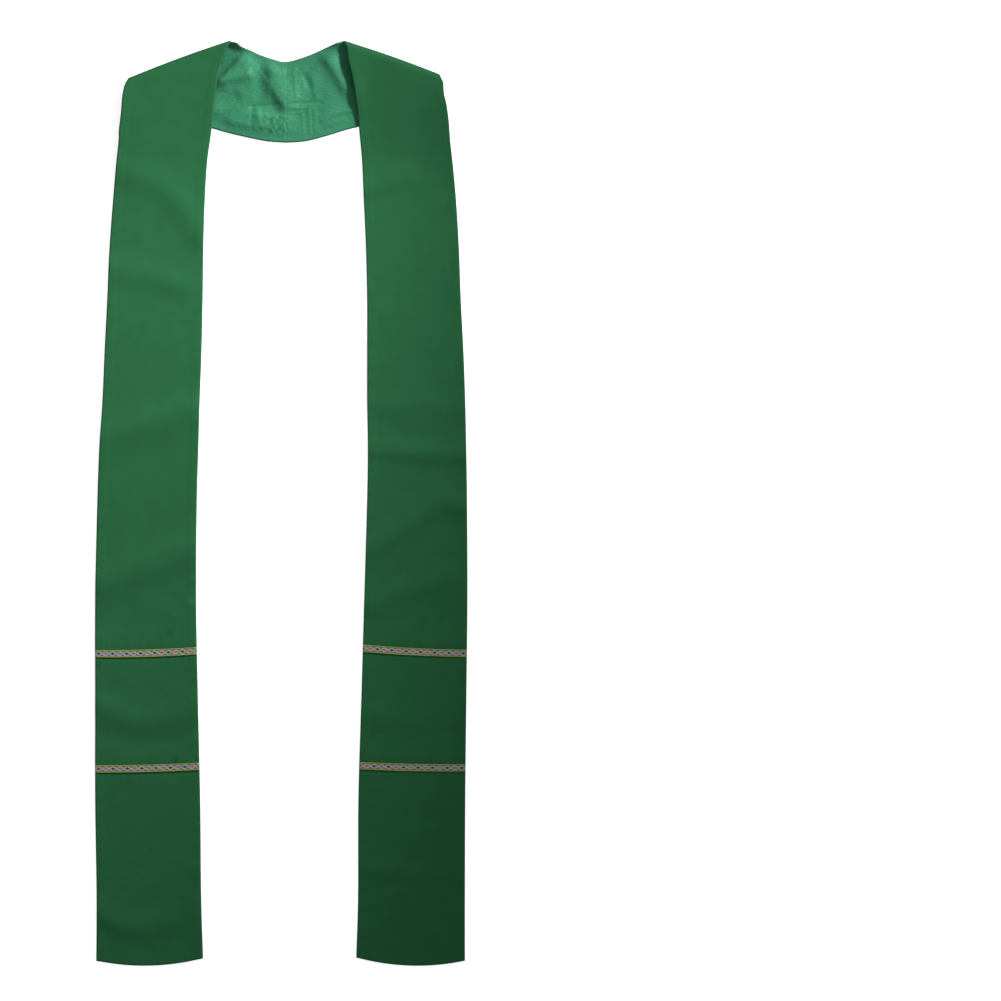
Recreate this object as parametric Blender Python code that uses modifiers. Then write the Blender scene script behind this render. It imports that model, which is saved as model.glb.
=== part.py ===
# Clerical stole laid flat, seen from its front: the two fronts are folded forward over the yoke.
# Each half is one strip of cloth that runs from the centre back seam of the yoke, round the shoulder
# fold and down the front to the hem, with a lining of the same cut inside it. Here each strip is made
# in three stretches, the yoke, the shoulder and the front, so that each is simple enough to collide
# well. Two woven bands cross each front, and a cross of the same braid is sewn to the outside of the
# yoke, which faces down.
# The stole lies in the XY plane, its neck towards +Y and its hems towards -Y, on the plane z = 0.
# Sizes are in millimetres, and the mesh is made in metres.

import math
from collections import namedtuple

import bmesh
import bpy
from mathutils import Vector

MM = 0.001
STOLE = "clerical_stole"

# Overall sizes
NECK_TOP_Y = 635.0
SEAM_X = 7.5
SEAM_GAP = 0.3
STRETCH_GAP = 0.5

# Walls, counted inwards from the outer face of the cloth
SHELL_WALL = 1.2
LINING_WALL = 1.0
LINING_MARGIN = 0.8
STACK = SHELL_WALL + SEAM_GAP + LINING_WALL

# Woven braid: four bands and the cross
BRAID_WALL = 1.0
BRAID_WIDTH = 11.0
BAND_END_MARGIN = 0.5
CROSS_TOP_DOWN = 45.0
CROSS_FOOT_DOWN = 132.5
CROSS_ARM_DOWN = 93.5
CROSS_ARM_WIDTH = 12.0
CROSS_ARM_GAP = 2.0
CROSS_ARM_REACH = {"left": 45.0, "right": 51.0}

# Shoulder fold: a soft roll that is tighter at the neck than at the tip
ROLL_RADIUS_NECK = 7.0
ROLL_RADIUS_TIP = 9.0
ROLL_SEGMENTS = 10
FALL_LENGTH_INNER = 165.0
FALL_LENGTH_OUTER = 150.0

# The yoke is held off the ground by the cross beneath it, and comes down beside the arms
YOKE_LIFT = BRAID_WALL + SEAM_GAP
YOKE_LIFT_REACH = 56.0
YOKE_LIFT_END = 88.0

# Hem: both corners stand higher than its middle
HEM_BOW = {"left": 8.5, "right": 9.0}
HEM_BOW_REACH = 110.0

# Mesh steps along and across the strip
YOKE_ROWS = 14
SHOULDER_STEP = 14.0
SHOULDER_REACH = 158.0
FRONT_STEP = 22.0
SHEET_COLUMNS = 10
BAND_COLUMNS = 16
BRAID_COLUMNS = 2
CROSS_ROWS = 8

# A section crosses the strip from its inner edge to its outer edge. "out" is measured outwards from
# the middle of the garment, and "down" from the top of the neck.
Section = namedtuple("Section", "inner_out inner_down outer_out outer_down")
Shoulder = namedtuple("Shoulder", "neck_out neck_down tip_out tip_down")
Lean = namedtuple("Lean", "inner outer")
Ridge = namedtuple("Ridge", "from_out from_down to_out to_down half_width height")
Band = namedtuple("Band", "inner_down outer_down sag")

SIDES = {"left": -1.0, "right": 1.0}

SHOULDERS = {
    "left": Shoulder(70.0, 0.0, 208.0, 51.0),
    "right": Shoulder(86.0, 0.0, 217.5, 46.5),
}

# How far the edges slide along the shoulder fold as they leave it, for each millimetre inwards
LEANS = {
    "yoke": Lean(1.2, 0.6),
    "front": Lean(-0.95, -1.25),
}

# Yoke, from the shoulder fold to the centre back seam: the neckline and the lower edge
YOKE_SECTIONS = {
    "left": [
        Section(54.0, 8.5, 180.0, 72.5),
        Section(41.5, 13.5, 145.0, 97.0),
        Section(29.5, 19.0, 111.0, 114.5),
        Section(18.5, 23.0, 80.5, 125.0),
        Section(7.5, 26.5, 47.5, 133.0),
        Section(0.0, 28.5, 20.0, 138.5),
        Section(-SEAM_X, 29.0, -SEAM_X, 140.5),
    ],
    "right": [
        Section(74.0, 4.5, 187.5, 68.0),
        Section(64.0, 8.5, 154.5, 94.5),
        Section(53.0, 13.5, 120.0, 114.0),
        Section(40.5, 19.0, 89.5, 123.0),
        Section(28.0, 23.5, 59.5, 132.0),
        Section(17.0, 27.0, 33.5, 138.5),
        Section(SEAM_X, 29.0, SEAM_X, 140.5),
    ],
}

# Front, from the shoulder fold to the hem
FRONT_SECTIONS = {
    "left": [
        Section(79.5, 25.0, 217.5, 76.0),
        Section(85.0, 40.0, 218.5, 86.0),
        Section(88.5, 58.0, 219.5, 98.5),
        Section(92.0, 79.0, 221.0, 111.0),
        Section(94.0, 102.5, 222.5, 123.0),
        Section(96.5, 128.5, 223.0, 137.0),
        Section(101.0, 164.5, 226.0, 164.5),
        Section(104.5, 219.5, 231.0, 219.5),
        Section(106.5, 288.0, 236.0, 288.0),
        Section(107.5, 356.5, 239.0, 356.5),
        Section(109.0, 425.0, 242.5, 425.0),
        Section(111.5, 494.0, 245.5, 494.0),
        Section(113.5, 562.5, 250.0, 562.5),
        Section(115.5, 631.0, 252.5, 631.0),
        Section(116.5, 768.5, 255.5, 768.5),
        Section(114.0, 906.0, 255.5, 906.0),
        Section(111.0, 1043.0, 255.5, 1043.0),
        Section(109.5, 1180.5, 253.5, 1180.5),
        Section(107.0, 1260.5, 254.0, 1264.0),
    ],
    "right": [
        Section(94.0, 27.0, 225.5, 73.5),
        Section(99.0, 42.0, 227.0, 86.0),
        Section(102.0, 58.5, 229.0, 98.5),
        Section(104.5, 79.0, 230.5, 111.0),
        Section(107.0, 101.0, 231.5, 124.5),
        Section(108.0, 127.5, 232.5, 138.5),
        Section(111.0, 164.5, 235.5, 164.5),
        Section(113.5, 219.5, 240.5, 219.5),
        Section(116.5, 288.0, 244.5, 288.0),
        Section(118.0, 356.5, 247.0, 356.5),
        Section(118.0, 425.0, 250.5, 425.0),
        Section(118.0, 494.0, 253.0, 494.0),
        Section(119.0, 562.5, 254.5, 562.5),
        Section(118.0, 631.0, 255.5, 631.0),
        Section(114.0, 768.5, 256.0, 768.5),
        Section(110.0, 906.0, 254.5, 906.0),
        Section(106.0, 1043.0, 253.0, 1043.0),
        Section(105.5, 1180.5, 252.5, 1180.5),
        Section(103.0, 1259.5, 252.5, 1264.0),
    ],
}

# Largest soft folds of the fronts, where the cloth stands a little off the ground
FRONT_RIDGES = {
    "left": [
        Ridge(105.0, 248.0, 209.0, 178.0, 26.0, 1.6),
        Ridge(124.0, 477.0, 252.0, 532.0, 24.0, 2.2),
        Ridge(121.0, 683.0, 241.0, 730.0, 26.0, 2.0),
        Ridge(145.0, 905.0, 222.0, 918.0, 28.0, 1.2),
        Ridge(128.0, 1139.0, 234.0, 1187.0, 24.0, 1.6),
    ],
    "right": [
        Ridge(119.0, 214.0, 224.0, 196.0, 28.0, 1.4),
        Ridge(121.0, 546.0, 252.0, 552.0, 22.0, 2.2),
        Ridge(143.0, 745.0, 240.0, 668.0, 26.0, 1.8),
        Ridge(135.0, 910.0, 225.0, 922.0, 28.0, 1.2),
        Ridge(116.0, 1128.0, 232.0, 1150.0, 24.0, 1.6),
    ],
}

# Largest wrinkles of the lining on the yoke. Here "out" is counted towards +X on both halves.
YOKE_RIDGES = [
    Ridge(-10.0, 38.0, 0.0, 88.0, 10.0, 3.2),
    Ridge(-66.0, 54.0, -34.0, 46.0, 11.0, 2.8),
    Ridge(-34.0, 92.0, -22.0, 124.0, 10.0, 2.6),
    Ridge(58.0, 22.0, 76.0, 52.0, 10.0, 3.0),
    Ridge(58.0, 112.0, 84.0, 98.0, 10.0, 2.4),
    Ridge(24.0, 92.0, 46.0, 96.0, 9.0, 2.0),
]
WRINKLE_EDGE_SHARE = 0.22
ROLL_TIGHT_REACH = 24.0
SMALLEST_RISE = 0.004

# Middle of each band, from the top of the neck, at the inner and the outer edge of its front
BANDS = {
    ("left", "upper"): Band(837.5, 841.5, 1.5),
    ("left", "lower"): Band(996.0, 999.5, 1.0),
    ("right", "upper"): Band(834.0, 841.0, 1.5),
    ("right", "lower"): Band(995.0, 998.0, 1.0),
}

# Surface finishes
GREEN_CLOTH = (0.024, 0.130, 0.048, 1.0)
GREEN_LINING = (0.042, 0.235, 0.120, 1.0)
BRAID_SILVER = (0.400, 0.370, 0.330, 1.0)


def blend(start, end, share):
    """The value a share of the way from start to end."""
    return start + (end - start) * share


def ease(share):
    """A share from 0 to 1, eased in and out, and held at its ends."""
    held = min(max(share, 0.0), 1.0)
    return held * held * (3.0 - 2.0 * held)


def shoulder_directions(side):
    """Unit vectors (out, down): inwards from the shoulder fold, and along it from tip to neck."""
    fold = SHOULDERS[side]
    along = Vector((fold.neck_out - fold.tip_out, fold.neck_down - fold.tip_down)).normalized()
    inwards = Vector((along.y, -along.x))
    return inwards, along


def shoulder_point(side, across):
    """The outermost line of the shoulder fold, as (out, down)."""
    fold = SHOULDERS[side]
    return Vector((blend(fold.neck_out, fold.tip_out, across), blend(fold.neck_down, fold.tip_down, across)))


def roll_radius(across):
    return blend(ROLL_RADIUS_NECK, ROLL_RADIUS_TIP, across)


def leave_shoulder(side, part, across, inset):
    """The point of the plan that lies this far inside the shoulder fold, on the way to this part."""
    inwards, along = shoulder_directions(side)
    lean = blend(LEANS[part].inner, LEANS[part].outer, across)
    return shoulder_point(side, across) + inset * (inwards + lean * along)


def roll_end(side, part):
    """The section where this part begins: at the roll's end, or just past it on the yoke."""
    gap = STRETCH_GAP if part == "yoke" else 0.0
    inner = leave_shoulder(side, part, 0.0, ROLL_RADIUS_NECK + gap)
    outer = leave_shoulder(side, part, 1.0, ROLL_RADIUS_TIP + gap)
    return Section(inner.x, inner.y, outer.x, outer.y)


def section_run(side, part):
    """All sections of a part from the roll on, with the distance of each along the middle of the strip."""
    table = YOKE_SECTIONS if part == "yoke" else FRONT_SECTIONS
    sections = [roll_end(side, part)] + table[side]
    distances = [0.0]
    for before, after in zip(sections, sections[1:]):
        step_out = (after.inner_out + after.outer_out - before.inner_out - before.outer_out) / 2
        step_down = (after.inner_down + after.outer_down - before.inner_down - before.outer_down) / 2
        distances.append(distances[-1] + math.hypot(step_out, step_down))
    return sections, distances


def section_at(run, distance):
    """The section at a distance, on smooth curves through the sections of the table."""
    sections, distances = run
    last = len(sections) - 1
    index = max(i for i in range(last) if distances[i] <= distance + SMALLEST_RISE)
    length = distances[index + 1] - distances[index]
    share = min((distance - distances[index]) / length, 1.0)

    def slope(i, column):
        before, after = max(i - 1, 0), min(i + 1, last)
        return (sections[after][column] - sections[before][column]) / (distances[after] - distances[before])

    def value(column):
        start, end = sections[index][column], sections[index + 1][column]
        leave, arrive = slope(index, column) * length, slope(index + 1, column) * length
        weight = ease(share)
        return (
            blend(start, end, weight)
            + leave * share * (1.0 - share) ** 2
            - arrive * share**2 * (1.0 - share)
        )

    return Section(*[value(column) for column in range(len(Section._fields))])


def ridge_rise(ridge, out, down):
    """How much one soft fold lifts the cloth at a point: round across, and fading towards its ends."""
    start = Vector((ridge.from_out, ridge.from_down))
    run = Vector((ridge.to_out, ridge.to_down)) - start
    offset = Vector((out, down)) - start
    share = offset.dot(run) / run.length_squared
    aside = abs(offset.x * run.y - offset.y * run.x) / run.length
    past_end = max(-share, share - 1.0, 0.0) * run.length
    rise = ridge.height * math.exp(-((aside / ridge.half_width) ** 2) - (past_end / ridge.half_width) ** 2)
    return rise if rise > SMALLEST_RISE else 0.0


def front_lift(side, across, out, down):
    """Height of the lining's underside above the ground on a front: it falls away from the shoulder."""
    inwards, _ = shoulder_directions(side)
    inset = (Vector((out, down)) - shoulder_point(side, 0.0)).dot(inwards)
    radius = roll_radius(across)
    reach = blend(FALL_LENGTH_INNER, FALL_LENGTH_OUTER, across)
    fall = 1.0 - ease((inset - radius) / (reach - radius))
    folds = sum(ridge_rise(ridge, out, down) for ridge in FRONT_RIDGES[side])
    return (2.0 * radius - STACK) * fall + folds


def yoke_lift(x):
    """Height of the yoke's outer face above the ground: the cross lies under its middle."""
    return YOKE_LIFT * (1.0 - ease((abs(x - SEAM_X) - YOKE_LIFT_REACH) / (YOKE_LIFT_END - YOKE_LIFT_REACH)))


def yoke_wrinkle(x, across, down):
    """How much the lining stands off the yoke at a point. It is sewn down at both edges."""
    free = ease(min(across, 1.0 - across) / WRINKLE_EDGE_SHARE)
    return free * sum(ridge_rise(ridge, x, down) for ridge in YOKE_RIDGES)


def hem_drop(side, across, to_hem):
    """How far the middle of a section hangs below its corners near the hem."""
    return HEM_BOW[side] * (1.0 - (2.0 * across - 1.0) ** 2) * ease(1.0 - to_hem / HEM_BOW_REACH)


def section_point(section, across, margin):
    """A point across a section, which keeps a margin to both edges, and its place across the strip."""
    inner = Vector((section.inner_out, section.inner_down))
    outer = Vector((section.outer_out, section.outer_down))
    inset = margin / (outer - inner).length
    place = blend(inset, 1.0 - inset, across)
    return inner.lerp(outer, place), place


def to_world(side, plan, height):
    return Vector((SIDES[side] * plan.x, NECK_TOP_Y - plan.y, height)) * MM


def yoke_point(side, run, distance, across, depth, margin, wrinkled):
    section = section_at(run, distance)
    plan, place = section_point(section, across, margin)
    seam_share = ease(distance / run[1][-1])
    plan.x += seam_share * SEAM_GAP / 2
    x = SIDES[side] * plan.x
    rise = yoke_wrinkle(x, place, plan.y) if wrinkled else 0.0
    loose = ease(distance / ROLL_TIGHT_REACH)
    return to_world(side, plan, depth + loose * (yoke_lift(x) + rise))


def roll_point(side, angle, across, depth, margin):
    """A point on the roll of the shoulder: -90 degrees meets the yoke and +90 degrees the front."""
    fold = SHOULDERS[side]
    length = math.hypot(fold.tip_out - fold.neck_out, fold.tip_down - fold.neck_down)
    place = blend(margin / length, 1.0 - margin / length, across)
    radius = roll_radius(place)
    part = "front" if angle > 0.0 else "yoke"
    inset = radius * (1.0 - math.cos(angle))
    plan = leave_shoulder(side, part, place, inset)
    inwards, _ = shoulder_directions(side)
    plan += depth * math.cos(angle) * inwards
    return to_world(side, plan, radius * (1.0 + math.sin(angle)) - depth * math.sin(angle))


def front_point(side, run, distance, across, depth, margin):
    length = run[1][-1]
    section = section_at(run, min(distance, length - margin))
    plan, place = section_point(section, across, margin)
    plan.y += hem_drop(side, place, length - distance)
    return to_world(side, plan, front_lift(side, place, plan.x, plan.y) + STACK - depth)


def even_steps(start, end, step):
    """Places from just after start up to end, as near to one step apart as fits."""
    count = max(round((end - start) / step), 1)
    return [blend(start, end, (i + 1) / count) for i in range(count)]


def strip_stretches(side):
    """The rows of a half's mesh, as (part, place) pairs for each stretch from the back seam to the hem."""
    yoke_length = section_run(side, "yoke")[1][-1]
    front_length = section_run(side, "front")[1][-1]
    front_start = SHOULDER_REACH + STRETCH_GAP
    yoke = [yoke_length * (1.0 - row / YOKE_ROWS) for row in range(YOKE_ROWS + 1)]
    roll = [math.pi * (i / ROLL_SEGMENTS - 0.5) for i in range(ROLL_SEGMENTS + 1)]
    fall = even_steps(0.0, SHOULDER_REACH, SHOULDER_STEP)
    front = [front_start] + even_steps(front_start, front_length, FRONT_STEP)
    return {
        "yoke": [("yoke", place) for place in yoke],
        "shoulder": [("roll", angle) for angle in roll] + [("front", place) for place in fall],
        "front": [("front", place) for place in front],
    }


def add_wall(name, points_by_row, wall, material, collection, parent):
    """A sheet through rows of points, with a wall of even thickness about it."""
    rows, columns = len(points_by_row) - 1, len(points_by_row[0]) - 1
    origin = points_by_row[rows // 2][columns // 2].copy()
    sheet = bmesh.new()
    bmesh.ops.create_grid(sheet, x_segments=columns, y_segments=rows, size=0.5)
    for vertex in sheet.verts:
        column = round((vertex.co.x + 0.5) * columns)
        row = round((vertex.co.y + 0.5) * rows)
        vertex.co = points_by_row[row][column] - origin
    mesh = bpy.data.meshes.new(name)
    sheet.to_mesh(mesh)
    sheet.free()
    mesh.shade_smooth()
    mesh.materials.append(material)
    piece = bpy.data.objects.new(name, mesh)
    piece.location = origin
    piece.parent = parent
    collection.objects.link(piece)
    solidify = piece.modifiers.new("wall", "SOLIDIFY")
    solidify.thickness = wall * MM
    solidify.offset = 0.0


def add_strip(layer, side, depth, wall, margin, wrinkled, make_cloth, collection, parent):
    """The shell or the lining of one half, in three stretches: depth is that of the middle of its wall."""
    runs = {part: section_run(side, part) for part in ("yoke", "front")}
    shares = [i / SHEET_COLUMNS for i in range(SHEET_COLUMNS + 1)]
    for stretch, stations in strip_stretches(side).items():
        rows = []
        for part, place in stations:
            if part == "yoke":
                rows.append([yoke_point(side, runs[part], place, t, depth, margin, wrinkled) for t in shares])
            elif part == "roll":
                rows.append([roll_point(side, place, t, depth, margin) for t in shares])
            else:
                rows.append([front_point(side, runs[part], place, t, depth, margin) for t in shares])
        name = f"{layer}_{side}_{stretch}"
        add_wall(name, rows, wall, make_cloth(name), collection, parent)


def distance_of_down(run, down):
    """The distance along a front of a level section, from how far down it lies."""
    sections, distances = run
    index = max(i for i in range(len(sections) - 1) if sections[i].inner_down <= down)
    share = (down - sections[index].inner_down) / (sections[index + 1].inner_down - sections[index].inner_down)
    return blend(distances[index], distances[index + 1], share)


def add_band(side, level, material, collection, parent):
    """A braid laid across a front from edge to edge, on the outer face of its shell."""
    band = BANDS[(side, level)]
    run = section_run(side, "front")
    depth = -(SEAM_GAP + BRAID_WALL / 2)
    rows = []
    for row in range(BRAID_COLUMNS + 1):
        aside = BRAID_WIDTH * (row / BRAID_COLUMNS - 0.5)
        points = []
        for column in range(BAND_COLUMNS + 1):
            across = column / BAND_COLUMNS
            sag = band.sag * (1.0 - (2.0 * across - 1.0) ** 2)
            down = blend(band.inner_down, band.outer_down, across) + sag + aside
            distance = distance_of_down(run, down)
            points.append(front_point(side, run, distance, across, depth, BAND_END_MARGIN))
        rows.append(points)
    add_wall(f"band_{side}_{level}", rows, BRAID_WALL, material, collection, parent)


def add_cross_piece(name, x_from, x_to, down_from, down_to, material, collection, parent):
    """One straight length of braid under the yoke, lying on the ground."""
    rows = []
    for row in range(CROSS_ROWS + 1):
        y = NECK_TOP_Y - blend(down_from, down_to, row / CROSS_ROWS)
        shares = [column / BRAID_COLUMNS for column in range(BRAID_COLUMNS + 1)]
        rows.append([Vector((blend(x_from, x_to, share), y, BRAID_WALL / 2)) * MM for share in shares])
    add_wall(name, rows, BRAID_WALL, material, collection, parent)


def add_cross(material, collection, parent):
    """A cross on the outside of the yoke: one upright over the seam, and an arm on each side of it."""
    half = BRAID_WIDTH / 2
    add_cross_piece(
        "cross_upright", SEAM_X - half, SEAM_X + half, CROSS_TOP_DOWN, CROSS_FOOT_DOWN,
        material("cross_upright"), collection, parent,
    )
    for side, sign in SIDES.items():
        near = SEAM_X + sign * (half + CROSS_ARM_GAP)
        far = SEAM_X + sign * CROSS_ARM_REACH[side]
        name = f"cross_arm_{side}"
        add_cross_piece(
            name, near, far, CROSS_ARM_DOWN - CROSS_ARM_WIDTH / 2, CROSS_ARM_DOWN + CROSS_ARM_WIDTH / 2,
            material(name), collection, parent,
        )


def make_material(name, color, roughness, sheen):
    material = bpy.data.materials.new(name)
    material.use_nodes = True
    shader = material.node_tree.nodes["Principled BSDF"]
    shader.inputs["Base Color"].default_value = color
    shader.inputs["Roughness"].default_value = roughness
    shader.inputs["Metallic"].default_value = 0.0
    shader.inputs["Sheen Weight"].default_value = sheen
    return material


def cloth_material(name):
    return make_material(f"{name}_cloth", GREEN_CLOTH, 0.85, 0.25)


def lining_material(name):
    return make_material(f"{name}_satin", GREEN_LINING, 0.42, 0.0)


def braid_material(name):
    return make_material(f"{name}_braid", BRAID_SILVER, 0.55, 0.0)


def clear_scene():
    for old in list(bpy.data.objects):
        bpy.data.objects.remove(old, do_unlink=True)


def main():
    clear_scene()
    collection = bpy.data.collections.new(STOLE)
    bpy.context.scene.collection.children.link(collection)
    parent = bpy.data.objects.new(f"{STOLE}_middle", None)
    collection.objects.link(parent)
    shell_depth = SHELL_WALL / 2
    lining_depth = SHELL_WALL + SEAM_GAP + LINING_WALL / 2
    for side in SIDES:
        add_strip("shell", side, shell_depth, SHELL_WALL, 0.0, False, cloth_material, collection, parent)
        add_strip(
            "lining", side, lining_depth, LINING_WALL, LINING_MARGIN, True,
            lining_material, collection, parent,
        )
    for side, level in BANDS:
        add_band(side, level, braid_material(f"band_{side}_{level}"), collection, parent)
    add_cross(braid_material, collection, parent)


main()
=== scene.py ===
# Looks of a lined clerical stole that lies flat on a pale floor and is seen from straight above: the outer
# cloth, the satin lining, four woven bands, the cross beneath the yoke, and the stitching.
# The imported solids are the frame. The file runs as a script, and is laid out as an add-on whose panel can
# build each piece again. Sizes in the tables are in millimetres: "out" is counted from the middle of the
# garment, and "down" from the top of its neck.

import math
from collections import namedtuple

import bmesh
import bpy
import numpy as np
from bpy.props import FloatProperty, FloatVectorProperty, PointerProperty
from mathutils import Matrix, Vector
from mathutils.bvhtree import BVHTree


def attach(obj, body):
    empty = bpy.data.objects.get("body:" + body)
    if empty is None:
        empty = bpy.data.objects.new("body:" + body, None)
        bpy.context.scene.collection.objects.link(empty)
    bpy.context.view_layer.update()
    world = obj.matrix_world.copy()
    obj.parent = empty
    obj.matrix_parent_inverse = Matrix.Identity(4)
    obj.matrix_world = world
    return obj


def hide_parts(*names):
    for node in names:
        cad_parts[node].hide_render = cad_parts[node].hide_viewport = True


bl_info = {
    "name": "Clerical stole",
    "version": (1, 0, 0),
    "blender": (4, 5, 0),
    "location": "View3D > Sidebar > Stole",
    "description": "Builds the looks of a clerical stole laid flat over its packed solids",
    "category": "Object",
}

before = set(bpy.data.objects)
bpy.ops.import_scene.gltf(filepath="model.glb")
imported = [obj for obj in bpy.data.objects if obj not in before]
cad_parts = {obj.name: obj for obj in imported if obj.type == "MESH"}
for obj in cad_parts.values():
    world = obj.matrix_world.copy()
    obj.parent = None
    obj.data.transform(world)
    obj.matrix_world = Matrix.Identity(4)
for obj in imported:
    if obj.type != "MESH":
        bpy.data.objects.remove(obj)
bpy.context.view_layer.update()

MM = 0.001
NECK_TOP_Y = 635.0
SEAM_X = 7.5
SIDES = {"left": -1.0, "right": 1.0}

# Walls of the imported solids, counted inwards from the outer face of the cloth
SHELL_WALL = 1.2
SEAM_GAP = 0.3
LINING_WALL = 1.0
STACK = SHELL_WALL + SEAM_GAP + LINING_WALL
BRAID_WALL = 1.0

# Shoulder fold: its radius at both ends, how far its middle bows out, and how far from it the cloth is still
# held tight. Then the lengths over which each front comes down from it
ROLL_RADIUS_NECK = 7.0
ROLL_RADIUS_TIP = 9.0
SHOULDER_BOW = 1.6
ROLL_TIGHT_REACH = 24.0
FALL_LENGTH_INNER = 165.0
FALL_LENGTH_OUTER = 150.0

# The yoke stands on the cross beneath it, and comes down beside its arms
YOKE_LIFT = BRAID_WALL + SEAM_GAP
YOKE_LIFT_REACH = 56.0
YOKE_LIFT_END = 88.0

# The neck edge stands up beside the shoulder fold, where cloth folded aslant can't lie flat
NECK_STAND = 9.0
NECK_STAND_DEPTH = 16.0
NECK_STAND_REACH = 32.0

# Hem: both corners stand higher than its middle
HEM_BOW = {"left": 8.5, "right": 9.0}
HEM_BOW_REACH = 110.0

# Cross beneath the yoke
CROSS_TOP_DOWN = 45.0
CROSS_FOOT_DOWN = 132.5
CROSS_ARM_DOWN = 93.5
CROSS_ARM_GAP = 2.0
CROSS_ARM_REACH = {"left": 45.0, "right": 51.0}

Shoulder = namedtuple("Shoulder", "neck_out neck_down tip_out tip_down")
Lean = namedtuple("Lean", "inner outer")
Fold = namedtuple("Fold", "crest lower upper height")
Band = namedtuple("Band", "inner_down outer_down sag")
Run = namedtuple("Run", "sections distances slopes")

SHOULDERS = {
    "left": Shoulder(70.0, 0.0, 210.5, 52.0),
    "right": Shoulder(86.0, 0.0, 218.5, 46.9),
}

# How far the edges slide along the shoulder fold as they leave it, for each millimetre inwards
LEANS = {
    "yoke": Lean(1.2, 0.6),
    "front": Lean(-0.95, -0.9),
}

# Sections of the yoke, from the shoulder fold to the centre back seam: the place (out, down) of the neckline,
# and that of the lower edge
YOKE_SECTIONS = {
    "left": [
        (54, 8.5, 180, 72.5), (41.5, 13.5, 145, 97), (29.5, 19, 111, 114.5),
        (18.5, 23, 80.5, 125), (7.5, 26.5, 47.5, 133), (0, 28.5, 20, 138.5),
        (-SEAM_X, 29, -SEAM_X, 140.5),
    ],
    "right": [
        (74, 4.5, 187.5, 68), (64, 8.5, 154.5, 94.5), (53, 13.5, 120, 114),
        (40.5, 19, 89.5, 123), (28, 23.5, 59.5, 132), (17, 27, 33.5, 138.5),
        (SEAM_X, 29, SEAM_X, 140.5),
    ],
}

# Sections of the fronts, from the shoulder fold to the hem: the place of the inner edge and of the outer one
FRONT_SECTIONS = {
    "left": [
        (79.5, 25, 217.5, 76), (85, 40, 218.5, 86), (87.8, 58, 219.5, 98.5),
        (90.6, 79, 221, 111), (93, 102.5, 222.5, 123), (96, 128.5, 223, 137),
        (101, 164.5, 226, 164.5), (104.5, 219.5, 231, 219.5), (106.5, 288, 236, 288),
        (107.5, 356.5, 239, 356.5), (109, 425, 242.5, 425), (111.5, 494, 245.5, 494),
        (113.5, 562.5, 250, 562.5), (115.5, 631, 252.5, 631), (116.5, 768.5, 255.5, 768.5),
        (114, 906, 255.5, 906), (111, 1043, 255.5, 1043), (109.5, 1180.5, 253.5, 1180.5),
        (107, 1260.5, 254, 1264),
    ],
    "right": [
        (92.3, 27, 224, 73.5), (96, 42, 227, 86), (99.5, 58.5, 229, 98.5),
        (102.5, 79, 230.5, 111), (105.3, 101, 231.5, 124.5), (107.7, 127.5, 232.5, 138.5),
        (111, 164.5, 235.5, 164.5), (113.5, 219.5, 240.5, 219.5), (116.5, 288, 244.5, 288),
        (118, 356.5, 247, 356.5), (118, 425, 250.5, 425), (118, 494, 253, 494),
        (119, 562.5, 254.5, 562.5), (118, 631, 255.5, 631), (114, 768.5, 256, 768.5),
        (110, 906, 254.5, 906), (106, 1043, 253, 1043), (105.5, 1180.5, 252.5, 1180.5),
        (103, 1259.5, 252.5, 1264),
    ],
}

# Soft folds of the fronts, and the puckers beside their bands. A crest is a line of places (out, down), read
# outwards. "lower" and "upper" are the widths of the flanks below and above it.
FRONT_FOLDS = {
    "left": [
        Fold([(108, 268), (160, 200), (228, 176)], 20, 20, 2.4),
        Fold([(134, 338), (166, 326), (234, 312)], 18, 18, 1.9),
        Fold([(122, 509), (246, 543)], 25, 22, 3.2),
        Fold([(120, 695), (246, 744)], 25, 22, 3.4),
        Fold([(114, 916), (150, 932), (196, 936), (252, 914)], 19, 20, 2.2),
        Fold([(110, 1142), (126, 1190), (150, 1212), (182, 1222), (222, 1215), (254, 1196)],
             15, 20, 2.3),
        Fold([(164, 1012), (208, 1079)], 10, 12, 0.7),
        Fold([(126, 774), (150, 810)], 5, 6, 1.2),
        Fold([(146, 790), (164, 814)], 4.5, 6, 0.7),
        Fold([(118, 955), (141, 984)], 4.5, 6, 1.3),
    ],
    "right": [
        Fold([(95, 32), (101, 76)], 14, 16, 2.2),
        Fold([(110, 206), (174, 186)], 15, 18, 2.4),
        Fold([(132, 500), (250, 506)], 16, 16, 1),
        Fold([(114, 562), (256, 570)], 13, 15, 2),
        Fold([(118, 702), (172, 668), (218, 636), (254, 640)], 15, 19, 3),
        Fold([(125, 775), (224, 738)], 18, 20, 2.2),
        Fold([(112, 924), (184, 940)], 16, 16, 1.2),
        Fold([(108, 1136), (229, 1151)], 12, 13, 1.4),
        Fold([(178, 800), (170, 828)], 4.5, 5, 0.8),
        Fold([(204, 796), (194, 828)], 4.5, 6, 1),
        Fold([(226, 802), (220, 828)], 4, 5, 0.6),
        Fold([(218, 955), (208, 985)], 4.5, 5, 0.8),
    ],
}

# Above each band the cloth swells a little, and it comes down across the band, with a groove along the band's
# lower seam. Near a band the rows of the cloth are closer together
BAND_SWELL = 1.2
BAND_SWELL_START = -46.0
BAND_SWELL_TOP = -9.0
BAND_SWELL_END = 12.0
BAND_GROOVE = 0.32
BAND_GROOVE_DOWN = 7.4
BAND_GROOVE_WIDTH = 2.2
BAND_ROWS_REACH = 14.0
BAND_ROWS_STEP = 1.2

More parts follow.
